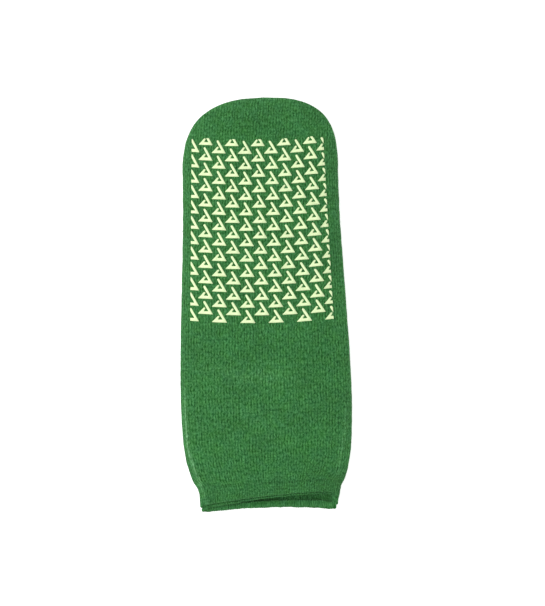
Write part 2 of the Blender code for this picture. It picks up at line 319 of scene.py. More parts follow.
class PrintLooks(bpy.types.PropertyGroup):
    """Sizes and colour of the grip print."""

    columns: IntProperty(name="Columns", description="Columns of marks", default=11, min=1)
    rows: IntProperty(name="Rows", description="Whole marks in a column", default=12, min=1)
    column_pitch: LengthProperty(name="Column Pitch", description="From column to column", default=8.6 * MM)
    row_pitch: LengthProperty(name="Row Pitch", description="From mark to mark", default=9.85 * MM)
    half_width: LengthProperty(
        name="Half Width", description="Half of the print's width", default=43.6 * MM
    )
    shift: LengthProperty(name="Shift", description="Of the print to the left", default=1.25 * MM)
    top_from_toe: LengthProperty(
        name="Upper Print", description="Its edge, from the toe tip", default=26.3 * MM
    )
    floor_from_toe: LengthProperty(
        name="Lower Print", description="Its edge, from the toe tip", default=35.5 * MM
    )
    height: LengthProperty(name="Mark Height", description="Over the knitting", default=0.6 * MM)
    bow: LengthProperty(
        name="Bow", description="By which a row's ends lie nearer the toe", default=2.1 * MM
    )
    slant: LengthProperty(
        name="Slant",
        description="By which a row's left end lies nearer the toe, and its right end nearer the leg",
        default=0.45 * MM,
    )
    fan: FloatProperty(
        name="Fan", description="Share by which the print widens in 100 mm toward the leg", default=0.075
    )
    colour: StringProperty(name="Colour", description="Colour of the marks, in hex", default="#dcefb8")


class StudioLooks(bpy.types.PropertyGroup):
    """Camera and light."""

    camera_height: LengthProperty(name="Camera Height", description="Above the floor", default=2.0)
    view_height: LengthProperty(
        name="View Height",
        description="Length of floor that the picture takes in from top to bottom",
        default=391 * MM,
    )
    roll: FloatProperty(
        name="Roll", description="Turn of the camera", default=math.radians(-1.4), subtype="ANGLE"
    )
    sky: FloatProperty(name="Sky", description="Strength of the light all round", default=0.92)
    key: FloatProperty(name="Key", description="Power of the large lamp, in watts", default=12.0)


def linear(hex_colour):
    """An sRGB hex colour as linear RGBA."""
    channels = []
    for start in (1, 3, 5):
        value = int(hex_colour[start : start + 2], 16) / 255
        value = value / 12.92 if value <= 0.04045 else ((value + 0.055) / 1.055) ** 2.4
        channels.append(value)
    return (*channels, 1.0)


def set_inputs(tree, node, inputs):
    """Set each input of a node, or link it to a socket or to another node's first output."""
    for key, value in inputs.items():
        if isinstance(value, bpy.types.Node):
            value = value.outputs[0]
        if isinstance(value, bpy.types.NodeSocket):
            tree.links.new(value, node.inputs[key])
        else:
            node.inputs[key].default_value = value


def add_node(tree, kind, inputs=None, **settings):
    """Add a node with its settings and its inputs."""
    node = tree.nodes.new(kind)
    for name, value in settings.items():
        setattr(node, name, value)
    set_inputs(tree, node, inputs or {})
    return node


def per_metre(size_mm):
    """The scale of a pattern on metres whose features are so many millimetres wide."""
    return 1000.0 / size_mm


def clamp(value):
    """A number kept between 0 and 1."""
    return min(max(value, 0.0), 1.0)


def slopes(column):
    """Slopes that keep a curve through the sections from overshooting them."""
    places = [row.along for row in SECTIONS]
    values = [getattr(row, column) for row in SECTIONS]
    steps = [(values[i + 1] - values[i]) / (places[i + 1] - places[i]) for i in range(len(places) - 1)]
    inner = [
        0.0 if before * after <= 0.0 else 2.0 * before * after / (before + after)
        for before, after in zip(steps, steps[1:])
    ]
    return [0.0] + inner + [0.0]


SLOPES = {column: slopes(column) for column in ("leg", "cuff")}


def read_section(column, along):
    """A column of the sections at a share of the length, on a smooth curve."""
    along = clamp(along)
    index = 0
    while index < len(SECTIONS) - 2 and along > SECTIONS[index + 1].along:
        index += 1
    low, high = SECTIONS[index], SECTIONS[index + 1]
    span = high.along - low.along
    t = (along - low.along) / span
    start, end = getattr(low, column), getattr(high, column)
    leave, arrive = SLOPES[column][index] * span, SLOPES[column][index + 1] * span
    held = start * (2 * t**3 - 3 * t**2 + 1) + leave * (t**3 - 2 * t**2 + t)
    return held + end * (3 * t**2 - 2 * t**3) + arrive * (t**3 - t**2)


def rounding(from_tip, reach, sharpness, fullness):
    """0 at a tip, rising to 1 at its reach along a quarter of a superellipse."""
    return (1.0 - clamp(1.0 - from_tip / reach) ** sharpness) ** (1.0 / fullness)


# half: half width. middle: where the middle lies across. fold: height of the side fold. rise and
# drop: how far the crown lies above the fold and the underside below it.
Shape = namedtuple("Shape", "half middle fold rise drop")


def shape_at(sizes, from_toe, proud=0.0):
    """The tube's section, moved out of its skin by proud, or in where that is less than 0."""
    inset = max(-proud, 0.0)
    along = from_toe / sizes.length
    to_leg, to_cuff = read_section("leg", along), read_section("cuff", along)
    width = sizes.foot_width + (sizes.leg_width - sizes.foot_width) * to_leg
    width += (sizes.cuff_width - width) * to_cuff
    height = sizes.foot_height + (sizes.leg_height - sizes.foot_height) * to_leg
    height += (sizes.cuff_height - height) * to_cuff
    spring = TOE_SPRING * max(0.0, 1.0 - from_toe / SPRING_REACH) ** 2
    lean = sizes.toe_lean * max(0.0, 1.0 - from_toe / sizes.toe_reach) ** 2
    inside = from_toe - inset
    return Shape(
        half=(width / 2 + proud) * rounding(inside, sizes.toe_reach - inset, TOE_SHARPNESS, TOE_FULLNESS),
        middle=lean + sizes.leg_lean * to_leg + sizes.cuff_lean * to_cuff,
        fold=standoff(from_toe) + spring + sizes.fold_height,
        rise=(height - sizes.fold_height + proud)
        * rounding(inside, CROWN_REACH - inset, CROWN_SHARPNESS, CROWN_FULLNESS),
        drop=(sizes.fold_height + min(proud, 0.0))
        * rounding(inside, KEEL_REACH - inset, KEEL_SHARPNESS, KEEL_FULLNESS),
    )


def standoff(from_toe):
    """How far the knitting lies off the floor: on its grips at the foot, on itself at the leg."""
    t = clamp((from_toe - FLOOR_PRINT_END) / STANDOFF_FALL)
    return STANDOFF * (1.0 - t * t * (3.0 - 2.0 * t))


def arc_lengths(*coordinates):
    """Distances along a line through points, whose coordinates are given one array for each axis."""
    return np.concatenate([[0.0], np.cumsum(np.hypot(*(np.diff(values) for values in coordinates)))])


def section_outline(shape, count):
    """Points one step apart round a section: over the top from +X to -X, and back underneath."""
    dense = []
    for step in range(TOP_STEPS):
        angle = math.pi * step / TOP_STEPS
        across = math.copysign(abs(math.cos(angle)) ** (2.0 / TOP_SQUARENESS), math.cos(angle))
        dense.append((shape.half * across, shape.fold + shape.rise * math.sin(angle)))
    flat = shape.half * FLAT_SHARE
    for step in range(SIDE_STEPS):
        angle = math.pi / 2 * step / SIDE_STEPS
        x = -flat - (shape.half - flat) * math.cos(angle)
        dense.append((x, shape.fold - shape.drop * math.sin(angle)))
    dense.append((-flat, shape.fold - shape.drop))
    for step in range(SIDE_STEPS):
        angle = math.pi / 2 * (1 - step / SIDE_STEPS)
        x = flat + (shape.half - flat) * math.cos(angle)
        dense.append((x, shape.fold - shape.drop * math.sin(angle)))
    dense.append(dense[0])
    across, up = np.array(dense).T
    lengths = arc_lengths(across, up)
    marks = np.linspace(0.0, lengths[-1], count, endpoint=False)
    return np.stack([np.interp(marks, lengths, across), np.interp(marks, lengths, up)], axis=1)


def place_ring(sizes, shape, outline, from_toe):
    """Put a section in its place, with the upper layer drawn back toward the toe at the mouth."""
    ramp = max(0.0, 1.0 - (sizes.length - from_toe) / MOUTH_REACH) ** 2
    x, z = outline[:, 0], outline[:, 1]
    above = np.clip((z - shape.fold) / max(shape.rise, LEAST), 0.0, 1.0)
    share = x / max(shape.half, LEAST)
    step = (sizes.mouth_step + sizes.mouth_slant * share) * (1.0 - (1.0 - above) ** FOLD_TURN)
    y = CAD_HIGH[1] - from_toe + ramp * (step + sizes.mouth_bow * (1.0 - share**2))
    end = clamp((from_toe - sizes.length + TUCK_START) / TUCK_REACH)
    tuck = sizes.lip_tuck * end * end * (3 - 2 * end) * (1.0 - above)
    x = x - tuck * np.clip((share - 0.5) / 0.5, 0.0, 1.0) ** 2
    rim = max(0.0, 1.0 - (sizes.length - from_toe) / RIM_REACH)
    z = z - sizes.rim_droop * rim**2 * above
    return np.stack([x + shape.middle, y, z], axis=1)


def crease_height(x, y):
    """Height that the creases add at points of the upper layer."""
    total = np.zeros_like(x)
    for crease in CREASES:
        points = np.array(crease.points) * MM
        nearest = np.full_like(x, np.inf)
        taper = np.zeros_like(x)
        lengths = np.hypot(*np.diff(points, axis=0).T)
        whole, gone = lengths.sum(), 0.0
        for start, end, length in zip(points, points[1:], lengths):
            run = end - start
            t = ((x - start[0]) * run[0] + (y - start[1]) * run[1]) / length**2
            t = np.clip(t, 0.0, 1.0)
            gap = np.hypot(x - start[0] - t * run[0], y - start[1] - t * run[1])
            share = (gone + t * length) / whole
            closer = gap < nearest
            nearest = np.where(closer, gap, nearest)
            taper = np.where(closer, np.sin(math.pi * (0.06 + 0.88 * share)) ** 0.5, taper)
            gone += length
        total += crease.height * MM * taper * np.exp(-((nearest / (crease.width * MM)) ** 2))
    return total


def unevenness(points, size_mm, seed):
    """Smooth noise from -1 to 1 at each point, with lumps so many millimetres wide."""
    scale = per_metre(size_mm)
    offset = Vector((seed * 7.3, seed * 3.1, seed * 5.7))
    return np.array([noise.noise(Vector(point) * scale + offset) for point in points])


def soften(points, shape_fold, shape_rise):
    """Raise and lower points of the upper layer by its creases and its slackness."""
    above = np.clip((points[:, 2] - shape_fold) / np.maximum(shape_rise, LEAST), 0.0, 1.0)
    lift = crease_height(points[:, 0], points[:, 1])
    for seed, (height, size_mm) in enumerate(SLACKNESS, 1):
        lift = lift + height * unevenness(points, size_mm, seed)
    moved = points.copy()
    moved[:, 2] += lift * np.clip(above / CREASED_FROM, 0.0, 1.0)
    return moved


def surface_height(sizes, x, from_toe, top):
    """The section at a place, and the height of its upper or its lower skin."""
    shape = shape_at(sizes, from_toe)
    share = min(abs(x - shape.middle) / max(shape.half, LEAST), 1.0)
    if top:
        return shape, shape.fold + shape.rise * math.sqrt(1.0 - share**TOP_SQUARENESS)
    past_flat = max(0.0, share - FLAT_SHARE) / (1.0 - FLAT_SHARE)
    return shape, shape.fold - shape.drop * math.sqrt(1.0 - past_flat**2)


def course_places(sizes, step, end):
    """Distances from the toe tip of rings one step apart along the crown of the toe and foot."""
    near_tip = np.linspace(0.0, 1.0, 400) ** 2 * 0.03  # close together, where the crown is steep
    dense = np.concatenate([near_tip, np.linspace(0.0301, end, 1500)])
    shapes = [shape_at(sizes, place) for place in dense]
    lengths = arc_lengths(dense, np.array([shape.fold + shape.rise for shape in shapes]))
    count = int(round(lengths[-1] / step))
    marks = np.linspace(0.0, lengths[-1], count + 1)[1:]
    return np.interp(marks, lengths, dense), marks


def skin_grid(sizes, places, prouds, count):
    """Rings of points down the tube, as an array of rings x count x 3."""
    shapes = [shape_at(sizes, place, proud) for place, proud in zip(places, prouds)]
    rings = [
        place_ring(sizes, shape, section_outline(shape, count), place)
        for shape, place in zip(shapes, places)
    ]
    grid = np.array(rings)
    fold = np.repeat([shape.fold for shape in shapes], count)
    rise = np.repeat([shape.rise for shape in shapes], count)
    return soften(grid.reshape(-1, 3), fold, rise).reshape(grid.shape)


def grid_normals(grid):
    """Outward normals of a grid of rings."""
    around = np.roll(grid, -1, axis=1) - np.roll(grid, 1, axis=1)
    along = np.gradient(grid, axis=0)
    normals = np.cross(around, along)
    return normals / np.maximum(np.linalg.norm(normals, axis=2, keepdims=True), 1e-12)


def rib_grid(grid, marks, looks, fade_at_tip):
    """Raise each wale over its groove, with stitches of uneven fullness along it."""
    rings, count = grid.shape[:2]
    wale = np.arange(count) / PER_WALE - 0.5
    wave = np.abs(np.cos(math.pi * wale))[None, :]  # 1 on a wale, 0 in a groove
    beads = np.array(
        [[noise.noise(Vector((w * 0.9, c * 0.42, 3.7))) for w in wale] for c in marks / looks.course]
    )
    fade = np.ones(rings)
    if fade_at_tip:
        fade = np.clip(marks / RIB_FADE, 0.0, 1.0) ** 1.5
    height = looks.rib * (0.75 * wave + 0.9 * beads * (0.4 + 0.6 * wave)) * fade[:, None]
    ribbed = grid + grid_normals(grid) * height[:, :, None]
    ribbed[:, :, 2] = np.maximum(ribbed[:, :, 2], 0.0)  # pressed flat on the floor
    return ribbed


def wrap_faces(first, rows, count):
    """Quads that join each ring of points to the next, as indices."""
    faces = []
    for row in range(rows - 1):
        for i in range(count):
            j = (i + 1) % count
            a, b = first + row * count, first + (row + 1) * count
            faces.append((a + i, a + j, b + j, b + i))
    return faces


def new_mesh(name, points, edges, faces, materials=()):
    """A smooth mesh of points, edges and faces."""
    mesh = bpy.data.meshes.new(name)
    mesh.from_pydata([tuple(point) for point in points], edges, faces)
    for material in materials:
        mesh.materials.append(material)
    mesh.shade_smooth()
    return mesh


def add_object(name, data):
    """A new object, linked to the scene."""
    thing = bpy.data.objects.new(name, data)
    bpy.context.scene.collection.objects.link(thing)
    return thing


def set_courses(mesh, wale_of, course_of, wales):
    """UV map whose unit is one stitch: wales across and courses along."""
    layer = mesh.uv_layers.new(name="Courses")
    for polygon in mesh.polygons:
        turns = [wale_of[mesh.loops[i].vertex_index] for i in polygon.loop_indices]
        wraps = max(turns) - min(turns) > wales / 2
        for i, turn in zip(polygon.loop_indices, turns):
            if wraps and turn < wales / 2:
                turn += wales
            layer.data[i].uv = (turn, course_of[mesh.loops[i].vertex_index])


def straighten_wales(mesh, sizes, wales):
    """Run the wales of the toe straight on, up to its outline, where they are narrowed away."""
    full = shape_at(sizes, sizes.toe_reach)
    outline = section_outline(full, wales * PER_WALE)
    turns = np.arange(wales * PER_WALE) / PER_WALE
    top = outline[:, 1] > full.fold
    low = ~top
    upper = np.argsort(outline[top, 0])
    lower = np.argsort(outline[low, 0])
    layer = mesh.uv_layers["Courses"]
    start = CAD_HIGH[1] - sizes.toe_reach
    for polygon in mesh.polygons:
        if polygon.center.y < start or polygon.material_index:
            continue
        side, order = (top, upper) if polygon.normal.z > 0 else (low, lower)
        for i in polygon.loop_indices:
            point = mesh.vertices[mesh.loops[i].vertex_index].co
            x = point.x - shape_at(sizes, CAD_HIGH[1] - point.y).middle
            turn = np.interp(x, outline[side, 0][order], turns[side][order])
            layer.data[i].uv = (turn, layer.data[i].uv[1])


def set_crease_lint_and_painted_light(mesh):
    """Attribute that is 1 on the sharpest crease ridge and below 0 in the troughs, for the knit's colour:
    lighter ridges, partly pale lint and partly a painted highlight, and troughs darker by painted shade.
    """
    points = np.array([vert.co[:] for vert in mesh.vertices])
    height = crease_height(points[:, 0], points[:, 1]) / (CREASES[0].height * MM)
    normals = np.array([vert.normal.z for vert in mesh.vertices])
    height = np.where(normals > 0.0, height, 0.0)
    layer = mesh.attributes.new("Pressed", "FLOAT", "POINT")
    layer.data.foreach_set("value", np.where(height > 0.0, 1.0, -0.3) * np.abs(height) ** 1.8)


def finish_piece(thing, slot, *nodes):
    """Hand a piece to the frame: its body, and the solids that it stands for, which it hides. The slot, its
    finish, is not used.
    """
    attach(thing, BODY)
    if nodes:
        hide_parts(*nodes)


def start_material(name):
    """A new material, the call that adds its nodes, and the place on the object in metres."""
    material = bpy.data.materials.new(name)
    material.use_nodes = True
    add = partial(add_node, material.node_tree)
    return material, add, add("ShaderNodeTexCoord").outputs["Object"]


def finish_material(material, inputs):
    """Set and link the inputs of a material's shader."""
    tree = material.node_tree
    set_inputs(tree, tree.nodes["Principled BSDF"], inputs)
    return material


def stitch_pattern(add, where, wander_mm):
    """Sockets for one stitch: how full it is, with the groove beside it, and the uneven yarn."""
    uv = add("ShaderNodeUVMap", uv_map="Courses")
    wander = add("ShaderNodeTexNoise", {"Vector": where, "Scale": per_metre(wander_mm), "Detail": 2.0})
    drift = add(
        "ShaderNodeVectorMath", {0: wander.outputs["Color"], 1: (0.5, 0.5, 0.5)}, operation="SUBTRACT"
    )
    moved = add("ShaderNodeVectorMath", {0: drift, 1: (1.3, 1.6, 0.0), 2: uv}, operation="MULTIPLY_ADD")
    parts = add("ShaderNodeSeparateXYZ", {0: moved})
    across = add("ShaderNodeMath", {0: parts.outputs["X"]}, operation="FRACT")
    centred = add("ShaderNodeMath", {0: across, 1: 2.0, 2: -1.0}, operation="MULTIPLY_ADD")
    side = add("ShaderNodeMath", {0: centred}, operation="ABSOLUTE")
    lean = add("ShaderNodeMath", {0: side, 1: 0.55, 2: parts.outputs["Y"]}, operation="MULTIPLY_ADD")
    phase = add("ShaderNodeMath", {0: lean, 1: math.pi}, operation="MULTIPLY")
    swing = add("ShaderNodeMath", {0: phase}, operation="SINE")
    loop = add("ShaderNodeMath", {0: swing}, operation="ABSOLUTE")
    groove = add("ShaderNodeMath", {0: side, 1: 3.0}, operation="POWER")
    round_wale = add("ShaderNodeMath", {0: 1.0, 1: groove}, operation="SUBTRACT")
    full = add("ShaderNodeMath", {0: loop, 1: 0.5, 2: 0.5}, operation="MULTIPLY_ADD")
    stitch = add("ShaderNodeMath", {0: full, 1: round_wale}, operation="MULTIPLY")
    stretched = add("ShaderNodeMapping", {"Vector": moved, "Scale": (1.7, 0.95, 1.0)})
    dashes = add("ShaderNodeTexNoise", {"Vector": stretched, "Scale": 1.0, "Detail": 3.0, "Roughness": 0.7})
    return stitch, dashes


def make_knit_material(looks):
    """Plain-knit face of a cotton and polyester terry yarn: matt, heathered, in worn-in wales."""
    material, add, where = start_material("heathered_terry_knit")
    stitch, dashes = stitch_pattern(add, where, 5.0)
    sharp = add("ShaderNodeMapRange", {"Value": dashes, "From Min": 0.37, "From Max": 0.60})
    height = add("ShaderNodeMix", {0: 0.6, 2: stitch, 3: sharp}, data_type="FLOAT")
    # The pit colour that the stitch height mixes in is painted shade between the stitches, on top of the
    # bump
    colour = add(
        "ShaderNodeMix", {0: height, 6: linear(looks.pit), 7: linear(looks.yarn)}, data_type="RGBA"
    )
    # Heather: slubs of lighter and darker fibre, 1 to 3 mm, in clouds of 16 mm
    heather = add("ShaderNodeTexNoise", {"Vector": where, "Scale": per_metre(2.2), "Detail": 3.0})
    cloud = add("ShaderNodeTexNoise", {"Vector": where, "Scale": per_metre(16), "Detail": 2.0})
    both = add("ShaderNodeMix", {0: 0.58, 2: heather, 3: cloud}, data_type="FLOAT")
    value = add(
        "ShaderNodeMapRange",
        {"Value": both, "From Min": 0.3, "From Max": 0.7, "To Min": 0.82, "To Max": 1.18},
    )
    # Creased ridges are lighter, partly pale lint and partly a painted highlight, and troughs are darker by
    # painted shade
    crease_lint_and_painted_light = add("ShaderNodeAttribute", attribute_name="Pressed").outputs["Fac"]
    gain = add("ShaderNodeMath", {0: crease_lint_and_painted_light, 1: 0.85, 2: 1.0}, operation="MULTIPLY_ADD")
    lit = add("ShaderNodeMath", {0: value, 1: gain}, operation="MULTIPLY")
    # Dye takes a little unevenly: patches of 5 mm toward yellow or blue
    dye = add("ShaderNodeTexNoise", {"Vector": where, "Scale": per_metre(5.0), "Detail": 2.0})
    hue = add(
        "ShaderNodeMapRange",
        {"Value": dye, "From Min": 0.3, "From Max": 0.7, "To Min": 0.493, "To Max": 0.507},
    )
    # Lint makes the stitch tops paler, and the painted shade between the stitches keeps the full dye
    depth = add(
        "ShaderNodeMapRange",
        {"Value": height, "From Min": 0.1, "From Max": 0.9, "To Min": 1.12, "To Max": 0.94},
    )
    paler = add("ShaderNodeMath", {0: crease_lint_and_painted_light, 1: -0.22, 2: depth}, operation="MULTIPLY_ADD")
    mottle_and_painted_light = add(
        "ShaderNodeHueSaturation",
        {"Hue": hue, "Saturation": paler, "Value": lit, "Color": colour.outputs[2]},
    )
    inputs = {
        "Base Color": mottle_and_painted_light,
        "Normal": add("ShaderNodeBump", {"Height": height, "Strength": 0.9, "Distance": 0.45 * MM}),
        "Roughness": 0.92,
        "IOR": 1.5,
        "Specular IOR Level": 0.2,
        "Sheen Weight": 0.25,
        "Sheen Roughness": 0.5,
        "Sheen Tint": linear(looks.lint),
    }
    return finish_material(material, inputs)


def make_terry_material(looks):
    """Looped inside of the same yarn: short uncut loops, so it is deeper and softer."""
    material, add, where = start_material("uncut_terry_loops")
    loops = add("ShaderNodeTexVoronoi", {"Vector": where, "Scale": per_metre(1.4)})
    lumps = add("ShaderNodeTexNoise", {"Vector": where, "Scale": per_metre(3.0), "Detail": 3.0})
    height = add("ShaderNodeMix", {0: 0.4, 2: loops, 3: lumps}, data_type="FLOAT")
    # The colour darkens toward the pit colour where the loops sink in: painted shade between the loops
    colour = add(
        "ShaderNodeMix", {0: height, 6: linear(looks.yarn), 7: linear(looks.pit)}, data_type="RGBA"
    )
    inputs = {
        "Base Color": colour.outputs[2],
        "Normal": add(
            "ShaderNodeBump", {"Height": height, "Strength": 1.0, "Distance": 0.6 * MM}, invert=True
        ),
        "Roughness": 0.95,
        "Sheen Weight": 0.3,
        "Sheen Tint": linear(looks.lint),
    }
    return finish_material(material, inputs)


def make_fibre_material(looks):
    """Loose cotton fibre: thin, matt and lighter than the yarn, because light comes through."""
    material, add, where = start_material("loose_cotton_fibre")
    spots = add("ShaderNodeTexNoise", {"Vector": where, "Scale": per_metre(4.0), "Detail": 1.0})
    colour = add(
        "ShaderNodeMix", {0: spots, 6: linear(looks.yarn), 7: linear(looks.lint)}, data_type="RGBA"
    )
    inputs = {
        "Base Color": colour.outputs[2],
        "Roughness": 0.9,
        "Sheen Weight": 0.4,
        "Sheen Tint": linear(looks.lint),
    }
    return finish_material(material, inputs)


def make_seam_material(looks):
    """Twisted linking yarn of the toe seam, matt, and a little darker than the knit by the painted shade in
    the hollows of its plies.
    """
    material, add, where = start_material("linked_seam_yarn")
    ply = add("ShaderNodeTexNoise", {"Vector": where, "Scale": per_metre(0.6), "Detail": 3.0})
    # The ply's hollows take the pit colour: painted shade between the plies
    colour = add("ShaderNodeMix", {0: ply, 6: linear(looks.pit), 7: linear(looks.yarn)}, data_type="RGBA")
    inputs = {
        "Base Color": colour.outputs[2],
        "Normal": add("ShaderNodeBump", {"Height": ply, "Strength": 0.7, "Distance": 0.25 * MM}),
        "Roughness": 0.9,
        "Specular IOR Level": 0.2,
        "Sheen Weight": 0.2,
        "Sheen Tint": linear(looks.lint),
    }
    return finish_material(material, inputs)


def make_print_material(looks):
    """Cured plastisol, printed thick: rubbery, half matt, with the knit's grain just showing."""
    material, add, where = start_material("cured_plastisol_print")
    grain = add("ShaderNodeTexNoise", {"Vector": where, "Scale": per_metre(0.9), "Detail": 3.0})
    thin = add("ShaderNodeTexNoise", {"Vector": where, "Scale": per_metre(3.5), "Detail": 2.0})
    tone = add(
        "ShaderNodeMapRange",
        {"Value": thin, "From Min": 0.3, "From Max": 0.7, "To Min": 0.90, "To Max": 1.0},
    )
    inputs = {
        "Base Color": add("ShaderNodeHueSaturation", {"Value": tone, "Color": linear(looks.colour)}),
        "Normal": add("ShaderNodeBump", {"Height": grain, "Strength": 0.35, "Distance": 0.2 * MM}),
        "Roughness": 0.5,
        "IOR": 1.52,
    }
    return finish_material(material, inputs)


def make_floor_material():
    """Opal acrylic of a light table: matt white, and lit from below so that it hides shadows."""
    material, add, where = start_material("lit_opal_acrylic")
    tooth = add("ShaderNodeTexNoise", {"Vector": where, "Scale": per_metre(1.5), "Detail": 2.0})
    inputs = {
        "Base Color": (0.90, 0.90, 0.90, 1.0),
        "Normal": add("ShaderNodeBump", {"Height": tooth, "Strength": 0.05, "Distance": 0.05 * MM}),
        "Roughness": 1.0,
        "Specular IOR Level": 0.0,
        "Emission Color": WHITE,
        "Emission Strength": 0.5,
    }
    return finish_material(material, inputs)


MAKERS = {
    "heathered_terry_knit": lambda scene: make_knit_material(scene.knit_looks),
    "uncut_terry_loops": lambda scene: make_terry_material(scene.knit_looks),
    "loose_cotton_fibre": lambda scene: make_fibre_material(scene.knit_looks),
    "linked_seam_yarn": lambda scene: make_seam_material(scene.knit_looks),
    "cured_plastisol_print": lambda scene: make_print_material(scene.print_looks),
}


def get_material(scene, name):
    """A material by name, made the first time that a piece asks for it."""
    return bpy.data.materials.get(name) or MAKERS[name](scene)


def new_tree(name, sockets):
    """A Geometry Nodes tree with named inputs: itself, the call that adds its nodes, and the inputs."""
    tree = bpy.data.node_groups.new(name, "GeometryNodeTree")
    for socket_name, kind in {"Geometry": "Geometry", **sockets, "Material": "Material"}.items():
        tree.interface.new_socket(socket_name, in_out="INPUT", socket_type="NodeSocket" + kind)
    tree.interface.new_socket("Geometry", in_out="OUTPUT", socket_type="NodeSocketGeometry")
    add = partial(add_node, tree)
    return tree, add, add("NodeGroupInput").outputs


def end_tree(tree, add, given, geometry):
    """Make what a tree has placed real, and give it the material."""
    real = add("GeometryNodeRealizeInstances", {0: geometry})
    painted = add("GeometryNodeSetMaterial", {0: real, "Material": given["Material"]})
    add("NodeGroupOutput", {0: painted})
    return tree


def bake_tree(name, tree, values, source=None):
    """Run a tree on a copy of a mesh, and keep what it makes as a plain mesh object."""
    carrier = add_object(name + "_carrier", source.copy() if source else bpy.data.meshes.new(name))
    modifier = carrier.modifiers.new(name, "NODES")
    modifier.node_group = tree
    for item in tree.interface.items_tree:
        if item.in_out == "INPUT" and item.name in values:
            modifier[item.identifier] = values[item.name]
    evaluated = carrier.evaluated_get(bpy.context.evaluated_depsgraph_get())
    result = bpy.data.meshes.new_from_object(evaluated)
    result.name = name
    bpy.data.objects.remove(carrier, do_unlink=True)
    return add_object(name, result)


def mark_mesh():
    """One grip mark round its cell's middle: filled outline, upright side and bevelled top."""
    bm = bmesh.new()
    outline = [((p.across - MARK_MIDDLE) * MM, p.along * MM, 0.0) for p in reversed(MARK_OUTLINE)]
    bm.faces.new([bm.verts.new(point) for point in outline])
    top = bmesh.ops.extrude_face_region(bm, geom=bm.faces[:])
    raised = [item for item in top["geom"] if isinstance(item, bmesh.types.BMFace)]
    for vert in {vert for face in raised for vert in face.verts}:
        vert.co.z = 0.5
    bmesh.ops.inset_region(bm, faces=raised, thickness=MARK_BEVEL, depth=0.0, use_even_offset=True)
    for vert in {vert for face in raised for vert in face.verts}:
        vert.co.z = 1.0
    bmesh.ops.recalc_face_normals(bm, faces=bm.faces)
    mesh = bpy.data.meshes.new("grip_mark")
    bm.to_mesh(mesh)
    bm.free()
    return mesh


def mark_tree():
    """Columns and rows of marks, of which every second column lies half a row further on."""
    sockets = {"Mark": "Object", "Columns": "Int", "Rows": "Int"}
    sockets |= {"Column Pitch": "Float", "Row Pitch": "Float"}
    tree, add, given = new_tree("grip_mark_rows", sockets)
    columns, rows = given["Columns"], given["Rows"]
    count = add("ShaderNodeMath", {0: columns, 1: rows}, operation="MULTIPLY")
    line = add("GeometryNodeMeshLine", {"Count": count, "Offset": (0.0, 0.0, 0.0)})
    index = add("GeometryNodeInputIndex")
    share = add("ShaderNodeMath", {0: index, 1: rows}, operation="DIVIDE")
    column = add("ShaderNodeMath", {0: share}, operation="FLOOR")
    row = add("ShaderNodeMath", {0: index, 1: rows}, operation="MODULO")
    odd = add("ShaderNodeMath", {0: column, 1: 2.0}, operation="MODULO")
    last = add("ShaderNodeMath", {0: columns, 1: 1.0}, operation="SUBTRACT")
    half = add("ShaderNodeMath", {0: last, 1: 0.5}, operation="MULTIPLY")
    centred = add("ShaderNodeMath", {0: column, 1: half}, operation="SUBTRACT")
    x = add("ShaderNodeMath", {0: centred, 1: given["Column Pitch"]}, operation="MULTIPLY")
    stagger = add("ShaderNodeMath", {0: odd, 1: 0.5, 2: row}, operation="MULTIPLY_ADD")
    y = add("ShaderNodeMath", {0: stagger, 1: given["Row Pitch"]}, operation="MULTIPLY")
    place = add("ShaderNodeCombineXYZ", {"X": x, "Y": y})
    spread = add("GeometryNodeSetPosition", {"Geometry": line, "Position": place})
    mark = add("GeometryNodeObjectInfo", {"Object": given["Mark"]}).outputs["Geometry"]
    marks = add("GeometryNodeInstanceOnPoints", {"Points": spread, "Instance": mark})
    return end_tree(tree, add, given, marks)


def tube_between(rings):
    """Points and faces of a tube through rings of points, with both ends filled."""
    count = len(rings[0])
    last = (len(rings) - 1) * count
    faces = wrap_faces(0, len(rings), count)
    faces += [tuple(range(count))[::-1], tuple(range(last, last + count))]
    return [point for ring in rings for point in ring], faces


def circle(middle, radius, first, second, sides):
    """Points round a middle, in the plane of two directions."""
    turns = [2 * math.pi * k / sides for k in range(sides)]
    return [middle + (first * math.cos(t) + second * math.sin(t)) * radius for t in turns]


def arch_mesh(name, width, rise, yarn, steps, sides):
    """A strand of yarn that arches across X, as a linking stitch or a terry loop does."""
    rings = []
    for step in range(steps + 1):
        angle = math.pi * step / steps
        skew = 0.35 * MM * math.cos(angle)
        middle = Vector((-math.cos(angle) * width / 2, skew, math.sin(angle) * rise))
        out = Vector((-math.cos(angle), 0.0, math.sin(angle)))
        rings.append(circle(middle, yarn, out, Vector((0.0, 1.0, 0.0)), sides))
    points, faces = tube_between(rings)
    return new_mesh(name, points, [], faces)


def fibre_mesh(length, radius):
    """One loose fibre, a bent strand that thins to its tip."""
    rings = []
    for step in range(4):
        t = step / 3
        middle = Vector((0.25 * length * t * t, 0.1 * length * t**3, length * (t - 0.2 * t * t)))
        thin = radius * (1.0 - 0.7 * t)
        rings.append(circle(middle, thin, Vector((1.0, 0.0, 0.0)), Vector((0.0, 1.0, 0.0)), 3))
    points, faces = tube_between(rings)
    return new_mesh("loose_fibre", points, [], faces)


